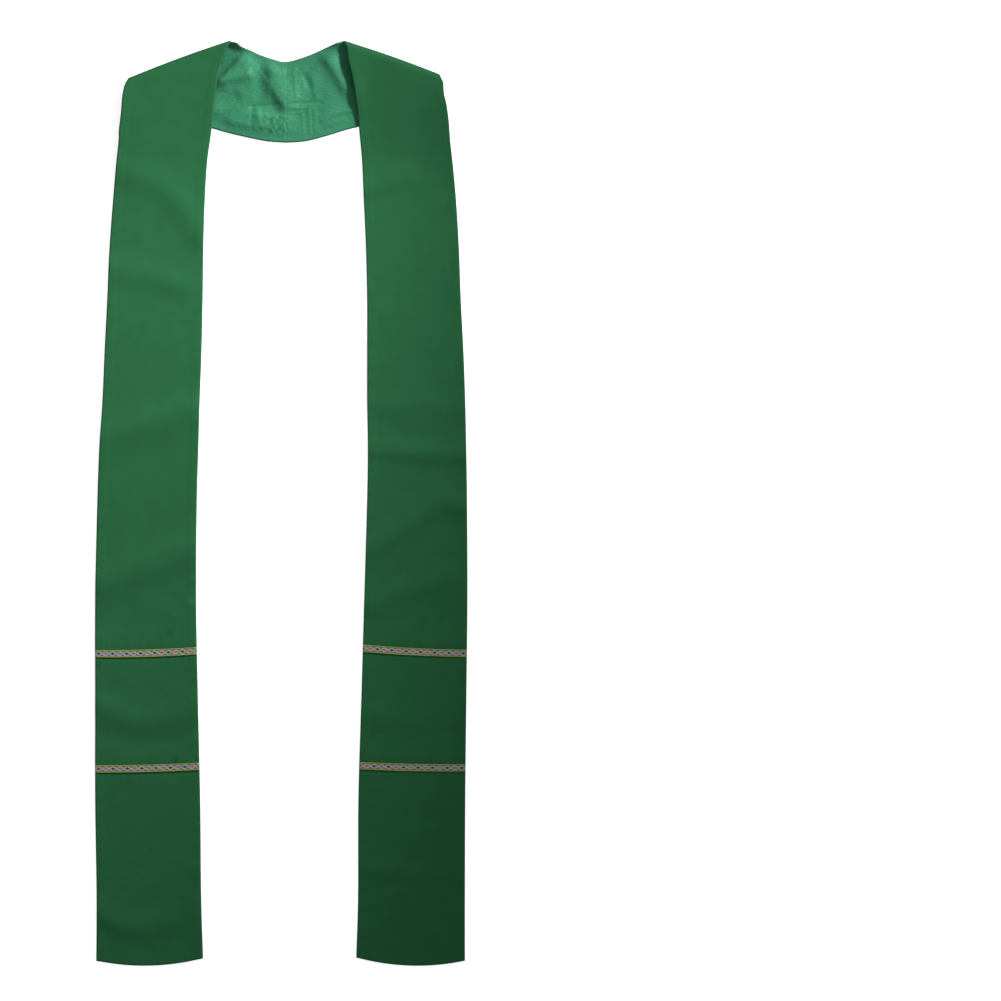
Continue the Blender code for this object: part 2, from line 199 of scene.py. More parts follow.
# Wrinkles of the lining on the yoke. Here places are (x, down), with x counted towards +X on both halves. The
# widths are those of the flanks below and above a crest that is read towards +X, or to the left and right of
# one that is read downwards. A height below zero makes a groove, as at the stitches of the cross.
YOKE_FOLDS = [
    Fold([(-13, 36), (-12.5, 60), (3, 85)], 9.5, 24, 5.4),
    Fold([(-98, 88), (-50, 118)], 12, 26, 1.6),
    Fold([(-32, 104), (3, 106)], 18, 6, 2.4),
    Fold([(-38, 42), (-42, 74)], 15, 8, 1.6),
    Fold([(-51, 21), (-62, 35), (-80, 53)], 6, 18, 4.6),
    Fold([(-80, 28), (-61, 20)], 3.2, 3.6, 1.5),
    Fold([(-92, 57), (-46, 47)], 7, 9, 3.4),
    Fold([(-93, 70), (-77, 66)], 2.8, 2.2, 0.6),
    Fold([(-94, 79), (-79, 75)], 2.8, 2.2, 0.5),
    Fold([(-94, 98), (-60, 92)], 6, 9, 0.9),
    Fold([(-70, 112), (-40, 118)], 6, 7, 0.8),
    Fold([(-58, 68), (-52, 84)], 5, 8, 1),
    Fold([(-40, 90.5), (-2, 88)], 2.4, 2.6, -0.75),
    Fold([(-40, 92), (-41, 120)], 2.6, 3.4, -0.6),
    Fold([(-33, 96), (-29, 117)], 3.2, 5, 0.9),
    Fold([(-21, 103), (-25, 130)], 2.6, 3.6, 0.6),
    Fold([(-10, 106), (-15, 131)], 2.4, 3.8, 0.6),
    Fold([(13, 86.5), (54, 85)], 2.4, 2.2, -0.75),
    Fold([(13, 93), (38, 92), (40.5, 130)], 2, 2, 0.55),
    Fold([(14, 99.5), (29, 99), (31, 128)], 1.8, 1.8, 0.40),
    Fold([(46, 96), (47, 132)], 2, 2.6, 0.40),
    Fold([(17, 34), (21, 78)], 3, 5, 0.5),
    Fold([(33, 50), (38, 63)], 4.4, 4.2, -1.1),
    Fold([(44, 52), (47, 76)], 4, 8, 0.8),
    Fold([(57, 109), (68, 101), (104, 95)], 3.6, 4, 0.9),
    Fold([(62, 118), (86, 109)], 3.4, 3.6, 0.6),
    Fold([(55, 13), (72, 38), (86, 62)], 8, 14, 4),
]

# Small crumpled patch of the yoke's lining above the foot of the cross
CRUMPLE_X = -9.0
CRUMPLE_DOWN = 121.0
CRUMPLE_REACH_X = 20.0
CRUMPLE_REACH_DOWN = 14.0
CRUMPLE_HEIGHT = 2.2

# Middle of each band, from the top of the neck, at the inner and the outer edge of its front
BANDS = {
    ("left", "upper"): Band(838.0, 842.0, 1.5),
    ("left", "lower"): Band(996.7, 1000.2, 1.0),
    ("right", "upper"): Band(834.4, 841.4, 1.5),
    ("right", "lower"): Band(995.7, 998.7, 1.0),
}

# Sheets: how far their edges stay inside the solids, how deep these turn in, and the steps between rows on
# the yoke, between rows on the front and between columns
OUTER_MARGIN = 0.6
OUTER_STEPS = (3.0, 2.8, 2.6)
OUTER_TURN = 1.1
YOKE_TURN = 0.4
LINING_MARGIN = 1.5
LINING_STEPS = (1.2, 6.0, 1.5)
LINING_TURN = 0.4
LINING_SHEET_WALL = 0.8
LINING_SHEET_DEPTH = SHELL_WALL + SEAM_GAP + 0.45

# The yoke's lining comes free of its sewn edges over this share of its width, and dents at the centre back seam
SEWN_SHARE = 0.17
SEAM_DENT = 0.15
SEAM_DENT_REACH = 1.2

# Braid: its ribbon, the zigzag yarns on it and the yarns along its rims. Then the threads that sew it on
BAND_LENGTH = 141.0
BAND_SEAM_LENGTH = 136.0
RIBBON_WALL = 0.4
RIBBON_RISE = 0.35
RIBBON_INSET = 0.3
ZIGZAG_INSET = 1.9
ZIGZAG_SHIFT = 0.715
ZIGZAG_WIDTH = 0.72
ZIGZAG_HEIGHT = 0.45
RIM_INSET = 0.6
RIM_WIDTH = 1.2
RIM_HEIGHT = 0.7
SEAM_INSET = 0.5
BRAID_THREAD = 0.30
LINING_THREAD = 0.34
FLAT_MAP = "flat_cloth"

# Studio
CAMERA_PLACE = (0.3013, 0.0034, 12.005)
CAMERA_LENS = 36.0 * 12.0 / 1.3744
KEY_PLACE = (0.80, 1.09, 0.64)
KEY_AIM = (-5.04, -3.49, 0.0)
KEY_SIZE = 0.3
KEY_SPREAD = math.radians(74.0)
KEY_POWER = 16.9
FILL_STRENGTH = 0.38
FLOOR_GLOW = 0.72
FLOOR_REACH = 6.0

# Distances from an edge at which a sheet has its columns, and how far in its edge turns over
EDGE_STEPS = (0.0, 0.35, 0.8, 1.4, 2.2, 3.4, 5.0, 6.8, 8.6, 10.0, 11.0, 12.0, 13.2)
EDGE_CURL_REACH = 1.6
TYPICAL_WIDTH = 143.0


def length_setting(name, description, default, low, high):
    return FloatProperty(name=name, description=description, default=default, min=low, max=high, precision=5,
                         unit="LENGTH")


def colour_setting(name, description, red, green, blue):
    return FloatVectorProperty(name=name, description=f"Colour of {description}", subtype="COLOR", size=4,
                               min=0.0, max=1.0, default=(red, green, blue, 1.0))


class StoleSizes(bpy.types.PropertyGroup):
    """Sizes that a user may change"""

    thread: length_setting("Cloth thread", "Spacing of the outer cloth's threads", 0.00048, 0.0002, 0.002)
    seam_rise: length_setting("Seam allowance rise", "Lift over the turned-in allowance", 0.00016, 0.0, 0.001)
    seam_width: length_setting("Seam allowance", "Width of the turned-in allowance", 0.0105, 0.004, 0.02)
    edge_pucker: length_setting("Edge pucker", "Height of the waves along the edges", 0.00028, 0.0, 0.001)
    rumple: length_setting("Rumple", "How unevenly the fronts lie on the floor", 0.0006, 0.0, 0.002)
    braid_width: length_setting("Braid width", "Width of the woven braid", 0.0100, 0.006, 0.02)
    braid_repeat: length_setting("Braid repeat", "Length of one repeat of the zigzag", 0.0195, 0.008, 0.04)
    stitch: length_setting("Stitch length", "Length of one machine stitch", 0.0026, 0.0015, 0.005)


class StoleColours(bpy.types.PropertyGroup):
    """Colours that a user may change"""

    cloth: colour_setting("Outer cloth", "the outer cloth", 0.0150, 0.1000, 0.0365)
    lining: colour_setting("Lining", "the satin lining", 0.0262, 0.1580, 0.0825)
    silver: colour_setting("Silver yarn", "the braid's zigzag yarn", 0.430, 0.445, 0.430)
    gold: colour_setting("Gold yarn", "the braid's edge yarn", 0.265, 0.325, 0.036)
    orange: colour_setting("Orange yarn", "the dashes in the edge yarn", 0.330, 0.170, 0.030)
    rose: colour_setting("Rose yarn", "every second diamond of the braid", 0.420, 0.150, 0.130)
    slate: colour_setting("Slate yarn", "the other diamonds of the braid", 0.040, 0.065, 0.085)
    thread: colour_setting("Green thread", "the thread on the lining", 0.012, 0.070, 0.030)
    floor: colour_setting("Floor", "the floor", 0.86, 0.86, 0.86)


def blend(start, end, share):
    """The value a share of the way from start to end."""
    return start + (end - start) * share


def ease(share):
    """Shares from 0 to 1, eased in and out, and held at their ends."""
    held = np.clip(share, 0.0, 1.0)
    return held * held * (3.0 - 2.0 * held)


def arch(share):
    """1 in the middle, and 0 at shares 0 and 1."""
    return 1.0 - (2.0 * share - 1.0) ** 2


def from_edge(place, width, margin):
    """Distance to the nearer edge of a sheet that stays a margin inside this width."""
    return np.minimum(place, 1.0 - place) * width - margin


def uneven(places, spacing, start):
    """A smooth wave from -1 to 1 whose humps are about one spacing apart, and never quite alike."""
    turns = np.asarray(places) * (math.tau / spacing) + start
    slow, quick = np.sin(0.62 * turns + 2.0 * start), np.sin(1.73 * turns + 3.0 * start)
    return 0.5 * np.sin(turns) + 0.3 * slow + 0.2 * quick


def shoulder_directions(side):
    """Unit vectors (out, down): inwards from the shoulder fold, and along it from tip to neck."""
    fold = SHOULDERS[side]
    along = np.array([fold.neck_out - fold.tip_out, fold.neck_down - fold.tip_down])
    along /= np.linalg.norm(along)
    return np.array([along[1], -along[0]]), along


def roll_radius(across):
    return blend(ROLL_RADIUS_NECK, ROLL_RADIUS_TIP, across)


def leave_shoulder(side, part, across, inset):
    """Plan points that lie this far inside the shoulder fold, on the way to a part."""
    inwards, along = shoulder_directions(side)
    fold = SHOULDERS[side]
    neck, tip = np.array(fold[0:2]), np.array(fold[2:4])
    across, inset = np.asarray(across)[..., None], np.asarray(inset)[..., None]
    lean = blend(LEANS[part].inner, LEANS[part].outer, across)
    return blend(neck, tip, across) + inset * (inwards + lean * along)


def measure_run(side, part):
    """The sections of a part from the roll on, the distance of each, and how fast each one changes."""
    table = (YOKE_SECTIONS if part == "yoke" else FRONT_SECTIONS)[side]
    start = leave_shoulder(side, part, [0.0, 1.0], [ROLL_RADIUS_NECK, ROLL_RADIUS_TIP]).ravel()
    sections = np.vstack([start, np.array(table)])
    middles = (sections[:, 0:2] + sections[:, 2:4]) / 2.0
    distances = np.concatenate([[0.0], np.cumsum(np.linalg.norm(np.diff(middles, axis=0), axis=1))])
    before = np.maximum(np.arange(len(sections)) - 1, 0)
    after = np.minimum(np.arange(len(sections)) + 1, len(sections) - 1)
    slopes = (sections[after] - sections[before]) / (distances[after] - distances[before])[:, None]
    return Run(sections, distances, slopes)


RUNS = {(side, part): measure_run(side, part) for side in SIDES for part in ("yoke", "front")}


def section_at(run, distance):
    """The sections at these distances, on smooth curves through the sections of the table."""
    last = len(run.distances) - 2
    index = np.clip(np.searchsorted(run.distances, distance, side="right") - 1, 0, last)
    length = run.distances[index + 1] - run.distances[index]
    share = np.clip((distance - run.distances[index]) / length, 0.0, 1.0)[..., None]
    leave = run.slopes[index] * length[..., None]
    arrive = run.slopes[index + 1] * length[..., None]
    straight = blend(run.sections[index], run.sections[index + 1], ease(share))
    return straight + leave * share * (1.0 - share) ** 2 - arrive * share**2 * (1.0 - share)


def strip_plan(side, part, distance, across, margin):
    """Plan points of a part, the share of the width where each lies, and the width there."""
    section = section_at(RUNS[(side, part)], distance)
    inner, outer = section[..., 0:2], section[..., 2:4]
    width = np.linalg.norm(outer - inner, axis=-1)
    place = margin / width + across * (1.0 - 2.0 * margin / width)
    return blend(inner, outer, place[..., None]), place, width


def fold_rise(fold, across, down):
    """How much one fold lifts the cloth: round across its crest, and fading past the crest's ends."""
    end_width = (fold.lower + fold.upper) / 2.0
    levels = []
    for (from_across, from_down), (to_across, to_down) in zip(fold.crest, fold.crest[1:]):
        run_across, run_down = to_across - from_across, to_down - from_down
        length = math.hypot(run_across, run_down)
        off_across, off_down = across - from_across, down - from_down
        share = (off_across * run_across + off_down * run_down) / length**2
        aside = (off_across * run_down - off_down * run_across) / length
        width = np.where(aside < 0.0, fold.lower, fold.upper)
        past_end = np.maximum(np.maximum(-share, share - 1.0), 0.0) * length
        levels.append((aside / width) ** 2 + (past_end / end_width) ** 2)
    return fold.height * np.exp(-np.min(levels, axis=0))


def folds_rise(folds, across, down):
    return sum(fold_rise(fold, across, down) for fold in folds)


def rumple_rise(sizes, out, down):
    """Low uneven swellings of cloth that lies on a floor without being pressed."""
    broad = np.sin(out / 31.0 + 0.6 * np.sin(down / 57.0))
    broad = broad * np.sin(down / 43.0 + 1.1 * np.sin(out / 49.0 + 1.0))
    narrow = np.sin(out / 17.0 + down / 67.0 + 2.0) * np.sin(down / 29.0 - out / 53.0)
    return sizes.rumple / MM * (0.5 + 0.3 * broad + 0.2 * narrow)


def band_middle(band, place):
    return blend(band.inner_down, band.outer_down, place) + band.sag * arch(place)


def below_bands(side, place, down):
    """How far each point lies below the middle of each band of its front."""
    return [down - band_middle(band, place) for (of_side, _), band in BANDS.items() if of_side == side]


def from_nearest_band(side, place, down):
    return np.min(np.abs(below_bands(side, place, down)), axis=0)


def band_swell(side, place, down):
    """How much the cloth is lifted above each band of a front, where the braid's seam has taken it up."""
    rise = 0.0
    for below in below_bands(side, place, down):
        up = ease((below - BAND_SWELL_START) / (BAND_SWELL_TOP - BAND_SWELL_START))
        gone = ease((below - BAND_SWELL_TOP) / (BAND_SWELL_END - BAND_SWELL_TOP))
        rise = rise + BAND_SWELL * up * (1.0 - gone)
    return rise


def front_lift(sizes, side, place, plan):
    """Height of the lining's underside above the floor on a front, which falls away from the shoulder."""
    out, down = plan[..., 0], plan[..., 1]
    inwards, _ = shoulder_directions(side)
    inset = (plan - np.array(SHOULDERS[side][0:2])) @ inwards
    radius = roll_radius(place)
    reach = blend(FALL_LENGTH_INNER, FALL_LENGTH_OUTER, place)
    fall = 1.0 - ease((inset - radius) / (reach - radius))
    folds = folds_rise(FRONT_FOLDS[side], out, down) + band_swell(side, place, down)
    loose = ease(inset / ROLL_TIGHT_REACH - 0.3)
    return (2.0 * radius - STACK) * fall + folds + loose * rumple_rise(sizes, out, down)


def cloth_relief(sizes, side, plan, place, edge, hem):
    """How far the outer face stands proud of a plain strip: over seam allowances, and in small puckers."""
    out, down = plan[..., 0], plan[..., 1]
    nearest = np.minimum(edge, hem)
    allowance = 1.0 - ease((nearest - sizes.seam_width / MM + 2.0) / 5.0)
    start = 0.7 if side == "left" else 2.9
    shift = np.where(place < 0.5, 76.0, 0.0)
    waves = uneven(down + shift, 17.0, start) * np.exp(-edge / 7.0)
    away = from_nearest_band(side, place, down) - sizes.braid_width / MM / 2.0
    gathers = uneven(out, 9.5, start + 1.1) * ease(away / 3.0) * np.exp(-np.maximum(away, 0.0) / 8.0)
    pressed = 1.0 - ease((away + 1.0) / 4.0)
    rise = sizes.seam_rise * allowance + sizes.edge_pucker * (waves + 1.1 * gathers)
    groove = sum(np.exp(-(((below - BAND_GROOVE_DOWN) / BAND_GROOVE_WIDTH) ** 2))
                 for below in below_bands(side, place, down))
    return rise / MM * (1.0 - pressed) - BAND_GROOVE * groove


def yoke_lift(x):
    past = (np.abs(x - SEAM_X) - YOKE_LIFT_REACH) / (YOKE_LIFT_END - YOKE_LIFT_REACH)
    return YOKE_LIFT * (1.0 - ease(past))


def crumple(x, down):
    """Small wrinkles that cross each other inside one soft patch."""
    aside, below = (x - CRUMPLE_X) / CRUMPLE_REACH_X, (down - CRUMPLE_DOWN) / CRUMPLE_REACH_DOWN
    patch = np.exp(-(aside**2) - below**2)
    one = np.sin(x / 1.5 + 0.9 * np.sin(down / 3.1)) * np.sin(down / 2.3 + 1.2 * np.sin(x / 2.7))
    two = np.sin((x + down) / 1.9 + 1.1 * np.sin(x / 4.3 + 1.0))
    return CRUMPLE_HEIGHT * patch * (0.5 + 0.3 * one + 0.2 * two)


def yoke_wrinkle(x, place, down):
    """How much the lining stands off the yoke. It is sewn down at both edges."""
    free = ease(np.minimum(place, 1.0 - place) / SEWN_SHARE)
    ripple = 0.12 * (1.0 + uneven(x + 0.7 * down, 9.0, 0.4))
    return free * (folds_rise(YOKE_FOLDS, x, down) + crumple(x, down) + ripple)


def neck_stand(inner, distance):
    """How far the neck edge stands up, at this distance from it and from the shoulder roll."""
    share = 1.0 - np.clip(inner / NECK_STAND_DEPTH, 0.0, 1.0)
    return NECK_STAND * share**2 * np.exp(-((distance / NECK_STAND_REACH) ** 2))


def to_world(side, plan, height):
    return np.stack([SIDES[side] * plan[..., 0], NECK_TOP_Y - plan[..., 1], height], axis=-1) * MM


def curl(distance, depth):
    """How far the edge of a cloth turns over towards its inner side."""
    share = 1.0 - np.clip(distance / EDGE_CURL_REACH, 0.0, 1.0)
    return depth * (1.0 - np.sqrt(1.0 - share**2))


def front_points(sizes, side, distance, across, depth, margin):
    """Points of a front: depth is counted from the outer face, and comes from a function of the place."""
    length = RUNS[(side, "front")].distances[-1]
    plan, place, width = strip_plan(side, "front", np.minimum(distance, length - margin), across, margin)
    hem = length - distance
    plan[..., 1] += HEM_BOW[side] * arch(place) * ease(1.0 - hem / HEM_BOW_REACH)
    edge = from_edge(place, width, margin)
    height = front_lift(sizes, side, place, plan) + STACK - depth(plan, place, edge, hem - margin)
    return to_world(side, plan, height)


def yoke_points(side, distance, across, depth, margin, wrinkled):
    plan, place, width = strip_plan(side, "yoke", distance, across, margin)
    x = SIDES[side] * plan[..., 0]
    edge = from_edge(place, width, margin)
    seam = RUNS[(side, "yoke")].distances[-1] - distance
    loose = ease(distance / ROLL_TIGHT_REACH)
    rise = yoke_lift(x)
    if wrinkled:
        dent = SEAM_DENT * np.exp(-((seam / SEAM_DENT_REACH) ** 2))
        rise = rise + yoke_wrinkle(x, place, plan[..., 1]) - dent
    height = depth(plan, place, edge, seam) + loose * rise + neck_stand(place * width, distance)
    return to_world(side, plan, height)


def roll_points(side, angle, across, yoke_depth, front_depth, margin):
    """Points on the roll of the shoulder: -90 degrees meets the yoke and +90 degrees the front."""
    fold = SHOULDERS[side]
    length = math.hypot(fold.tip_out - fold.neck_out, fold.tip_down - fold.neck_down)
    place = margin / length + across * (1.0 - 2.0 * margin / length)
    radius = roll_radius(place)
    inset = radius * (1.0 - np.cos(angle))
    to_front = leave_shoulder(side, "front", place, inset)
    to_yoke = leave_shoulder(side, "yoke", place, inset)
    plan = np.where((angle > 0.0)[..., None], to_front, to_yoke)
    edge = from_edge(place, length, margin)
    end = np.full_like(edge, 1000.0)
    deep = yoke_depth(plan, place, edge, end)
    deep = deep + (front_depth(plan, place, edge, end) - deep) * ease(0.5 + angle / math.pi)
    inwards, _ = shoulder_directions(side)
    plan = plan + ((deep - SHOULDER_BOW * arch(place)) * np.cos(angle))[..., None] * inwards
    stand = neck_stand(place * length, 0.0) * (1.0 - ease(1.0 + angle / (math.pi / 2.0)))
    return to_world(side, plan, (radius - deep) * np.sin(angle) + radius + stand)


def even_places(start, end, step):
    """Places from start to just before end, as near to one step apart as fits."""
    count = max(round((end - start) / step), 1)
    return start + (end - start) * np.arange(count) / count


def front_places(side, step, end):
    """Distances down a front, one step apart, and closer together near its bands where cloth is gathered."""
    run = RUNS[(side, "front")]
    fine = np.linspace(step, end, 6000)
    middle = section_at(run, fine)[:, [1, 3]].mean(axis=1)
    near = from_nearest_band(side, 0.5, middle) < BAND_ROWS_REACH
    spacing = np.where(near, min(step, BAND_ROWS_STEP), step)
    counted = np.concatenate([[0.0], np.cumsum(np.diff(fine) / spacing[:-1])])
    count = math.ceil(counted[-1])
    return np.interp(counted[-1] * np.arange(count) / count, counted, fine)


def across_shares(step):
    """Shares of a strip's width, close together at its edges and one step apart between them."""
    edge = np.array(EDGE_STEPS) / TYPICAL_WIDTH
    middle = even_places(edge[-1], 1.0 - edge[-1], step / TYPICAL_WIDTH)
    return np.concatenate([edge[:-1], middle, 1.0 - edge[::-1]])


def strip_surface(sizes, side, steps, yoke_depth, front_depth, margin, wrinkled):
    """Points and flat cloth places of a whole half, from the centre back seam to the hem."""
    yoke_step, front_step, across_step = steps
    across = across_shares(across_step)[None, :]
    ends = np.array(EDGE_STEPS[:8])
    yoke_length = RUNS[(side, "yoke")].distances[-1]
    front_length = RUNS[(side, "front")].distances[-1]
    yoke = yoke_length - np.concatenate([ends[:-1], even_places(ends[-1], yoke_length, yoke_step)])
    turn = np.radians(np.linspace(-90.0, 90.0, 19))
    front = front_places(side, front_step, front_length - ends[-1])
    front = np.concatenate([front, front_length - ends[::-1]])
    on_yoke, on_roll, on_front = (places[:, None] + 0.0 * across for places in (yoke, turn, front))
    rows = [
        yoke_points(side, on_yoke, across, yoke_depth, margin, wrinkled),
        roll_points(side, on_roll, across + 0.0 * on_roll, yoke_depth, front_depth, margin),
        front_points(sizes, side, on_front, across, front_depth, margin),
    ]
    roll_length = math.pi * (ROLL_RADIUS_NECK + ROLL_RADIUS_TIP) / 2.0
    along = np.concatenate([
        yoke_length - yoke,
        yoke_length + roll_length * (turn / math.pi + 0.5),
        yoke_length + roll_length + front,
    ])
    flat = np.stack(np.broadcast_arrays((across - 0.5) * TYPICAL_WIDTH, along[:, None]), axis=-1) * MM
    return np.concatenate(rows), flat


def to_mesh(shape, name):
    mesh = bpy.data.meshes.new(name)
    shape.to_mesh(mesh)
    shape.free()
    return mesh


def add_object(name, data):
    """An object in place of any older one of its name."""
    old = bpy.data.objects.get(name)
    if old is not None:
        bpy.data.objects.remove(old, do_unlink=True)
    made = bpy.data.objects.new(name, data)
    bpy.context.scene.collection.objects.link(made)
    return made


def add_piece(name, mesh, material):
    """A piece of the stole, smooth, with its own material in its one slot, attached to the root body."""
    mesh.shade_smooth()
    mesh.materials.append(material)
    piece = add_object(name, mesh)
    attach(piece, "root")
    return piece


def grid_mesh(name, points, flat):
    """A grid through rows of points, with its flat places as a UV map."""
    rows, columns = points.shape[0] - 1, points.shape[1] - 1
    grid = bmesh.new()
    bmesh.ops.create_grid(grid, x_segments=columns, y_segments=rows, size=0.5)
    mesh = to_mesh(grid, name)
    places = np.empty(len(mesh.vertices) * 3)
    mesh.vertices.foreach_get("co", places)
    places = places.reshape(-1, 3)
    column = np.rint((places[:, 0] + 0.5) * columns).astype(int)
    row = np.rint((places[:, 1] + 0.5) * rows).astype(int)
    mesh.vertices.foreach_set("co", points[row, column].ravel())
    corners = np.empty(len(mesh.loops), dtype=int)
    mesh.loops.foreach_get("vertex_index", corners)
    layer = mesh.uv_layers.new(name=FLAT_MAP)
    layer.data.foreach_set("uv", flat[row, column][corners].ravel())
    mesh.update()
    return mesh


def add_sheet(name, points, flat, wall, material):
    """A sheet of cloth through rows of points, with its wall about them."""
    piece = add_piece(name, grid_mesh(name, points, flat), material)
    solidify = piece.modifiers.new("wall", "SOLIDIFY")
    solidify.thickness = wall * MM
    solidify.offset = 0.0
    return piece


def set_input(tree, place, value):
    """Links a node's input to a socket, or gives it a value."""
    if isinstance(value, bpy.types.NodeSocket):
        tree.links.new(value, place)
    else:
        place.default_value = value


def calc(tree, operation, first, second=None):
    """The output of a Math node whose inputs are sockets or numbers."""
    node = tree.nodes.new("ShaderNodeMath")
    node.operation = operation
    set_input(tree, node.inputs[0], first)
    if second is not None:
        set_input(tree, node.inputs[1], second)
    return node.outputs[0]


def stripes(tree, places, spacing):
    """A wave from -1 to 1 whose crests are one spacing apart."""
    return calc(tree, "SINE", calc(tree, "MULTIPLY", places, math.tau / spacing))


def toned(tree, color, wave, share=1.0):
    """A colour made lighter and darker by a share of a wave."""
    paint = tree.nodes.new("ShaderNodeHueSaturation")
    set_input(tree, paint.inputs["Color"], color)
    tree.links.new(calc(tree, "ADD", calc(tree, "MULTIPLY", wave, share), 1.0), paint.inputs["Value"])
    return paint.outputs["Color"]


def choose_color(tree, share, first, second):
    """A colour between two, each a socket or a colour."""
    mix = tree.nodes.new("ShaderNodeMix")
    mix.data_type = "RGBA"
    for place, value in ((0, share), (6, first), (7, second)):
        set_input(tree, mix.inputs[place], value)
    return mix.outputs[2]


def body_places(tree):
    return tree.nodes.new("ShaderNodeTexCoord").outputs["Object"]


def flat_map(tree):
    """The piece's own flat map, in metres."""
    flat = tree.nodes.new("ShaderNodeUVMap")
    flat.uv_map = FLAT_MAP
    return flat.outputs["UV"]


def flat_places(tree):
    """Both coordinates of the piece's flat map."""
    place = tree.nodes.new("ShaderNodeSeparateXYZ")
    tree.links.new(flat_map(tree), place.inputs[0])
    return place.outputs["X"], place.outputs["Y"]


def noise(tree, places, scale, detail=2.0, roughness=0.5):
    """Soft noise over these coordinates, at a scale of its own for each of them."""
    stretch = tree.nodes.new("ShaderNodeMapping")
    stretch.inputs["Scale"].default_value = scale
    tree.links.new(places, stretch.inputs["Vector"])
    made = tree.nodes.new("ShaderNodeTexNoise")
    tree.links.new(stretch.outputs["Vector"], made.inputs["Vector"])
    for name, value in (("Scale", 1.0), ("Detail", detail), ("Roughness", roughness)):
        made.inputs[name].default_value = value
    return made.outputs["Fac"]


def woven_group():
    """Shader group for cloth: threads over and under each other, with slubs and soft mottling."""
    name = "Woven cloth"
    if name in bpy.data.node_groups:
        return bpy.data.node_groups[name]
    group = bpy.data.node_groups.new(name, "ShaderNodeTree")
    for label, kind, in_out in (
        ("Color", "Color", "INPUT"), ("Threads per metre", "Float", "INPUT"), ("Mottling", "Float", "INPUT"),
        ("Slub", "Float", "INPUT"), ("Color", "Color", "OUTPUT"), ("Height", "Float", "OUTPUT"),
        ("Mottle", "Float", "OUTPUT"),
    ):
        group.interface.new_socket(label, in_out=in_out, socket_type=f"NodeSocket{kind}")
    given = group.nodes.new("NodeGroupInput").outputs
    result = group.nodes.new("NodeGroupOutput").inputs
    across, along = flat_places(group)
    turns = calc(group, "MULTIPLY", given["Threads per metre"], math.pi)
    weft = calc(group, "SINE", calc(group, "MULTIPLY", across, turns))
    warp = calc(group, "SINE", calc(group, "MULTIPLY", along, turns))
    crossing = calc(group, "MULTIPLY", calc(group, "MULTIPLY", weft, warp), 0.35)
    rounded = calc(group, "MULTIPLY", calc(group, "ABSOLUTE", weft), calc(group, "ABSOLUTE", warp))
    mottle = noise(group, body_places(group), (46.0, 46.0, 46.0), detail=5.0, roughness=0.55)
    slub = noise(group, flat_map(group), (2600.0, 90.0, 1.0))
    mottling = calc(group, "MULTIPLY", calc(group, "SUBTRACT", mottle, 0.5), given["Mottling"])
    slubs = calc(group, "MULTIPLY", calc(group, "SUBTRACT", slub, 0.5), given["Slub"])
    tone = toned(group, given["Color"], calc(group, "ADD", mottling, slubs))
    group.links.new(tone, result["Color"])
    group.links.new(calc(group, "ADD", crossing, rounded), result["Height"])
    group.links.new(mottle, result["Mottle"])
    return group


def new_material(name, color, finish):
    """A material with a Principled shader and its finish, and its node tree."""
    material = bpy.data.materials.new(name)
    material.use_nodes = True
    material.diffuse_color = color
    shader = material.node_tree.nodes["Principled BSDF"]
    shader.inputs["Base Color"].default_value = color
    for place, value in finish.items():
        shader.inputs[place].default_value = value
    return material, material.node_tree, shader


def add_bump(tree, shader, height, depth, strength):
    bump = tree.nodes.new("ShaderNodeBump")
    bump.inputs["Strength"].default_value = strength
    bump.inputs["Distance"].default_value = depth
    tree.links.new(height, bump.inputs["Height"])
    tree.links.new(bump.outputs["Normal"], shader.inputs["Normal"])


def add_weave(tree, shader, color, threads, mottling, slub):
    """Gives a shader the colour of woven cloth. Returns the weave's outputs."""
    weave = tree.nodes.new("ShaderNodeGroup")
    weave.node_tree = woven_group()
    values = {"Color": color, "Threads per metre": threads, "Mottling": mottling, "Slub": slub}
    for name, value in values.items():
        weave.inputs[name].default_value = value
    tree.links.new(weave.outputs["Color"], shader.inputs["Base Color"])
    return weave.outputs


def outer_cloth_material(sizes, colours):
    """Matt dark green cloth of a fine plain weave."""
    finish = {"Roughness": 0.82, "Specular IOR Level": 0.10, "Sheen Weight": 0.05, "Sheen Roughness": 0.4,
              "Sheen Tint": (0.30, 0.75, 0.42, 1.0)}
    material, tree, shader = new_material("outer_cloth", colours.cloth, finish)
    weave = add_weave(tree, shader, colours.cloth, 1.0 / sizes.thread, mottling=0.22, slub=0.16)
    add_bump(tree, shader, weave["Height"], depth=0.00009, strength=0.35)
    return material


def lining_material(sizes, colours):
    """Light green satin, with a soft gloss that is a little duller where it has been rubbed."""
    finish = {"Specular IOR Level": 0.5, "Specular Tint": (0.35, 1.0, 0.66, 1.0), "Sheen Weight": 0.05}
    material, tree, shader = new_material("lining_satin", colours.lining, finish)
    weave = add_weave(tree, shader, colours.lining, 3.0 / sizes.thread, mottling=0.30, slub=0.22)
    dullness = calc(tree, "ADD", calc(tree, "MULTIPLY", weave["Mottle"], 0.24), 0.42)
    tree.links.new(dullness, shader.inputs["Roughness"])
    crinkle = noise(tree, body_places(tree), (170.0, 330.0, 200.0), detail=3.0)
    relief = calc(tree, "ADD", crinkle, calc(tree, "MULTIPLY", weave["Mottle"], 2.0))
    add_bump(tree, shader, relief, depth=0.0011, strength=0.45)
    return material


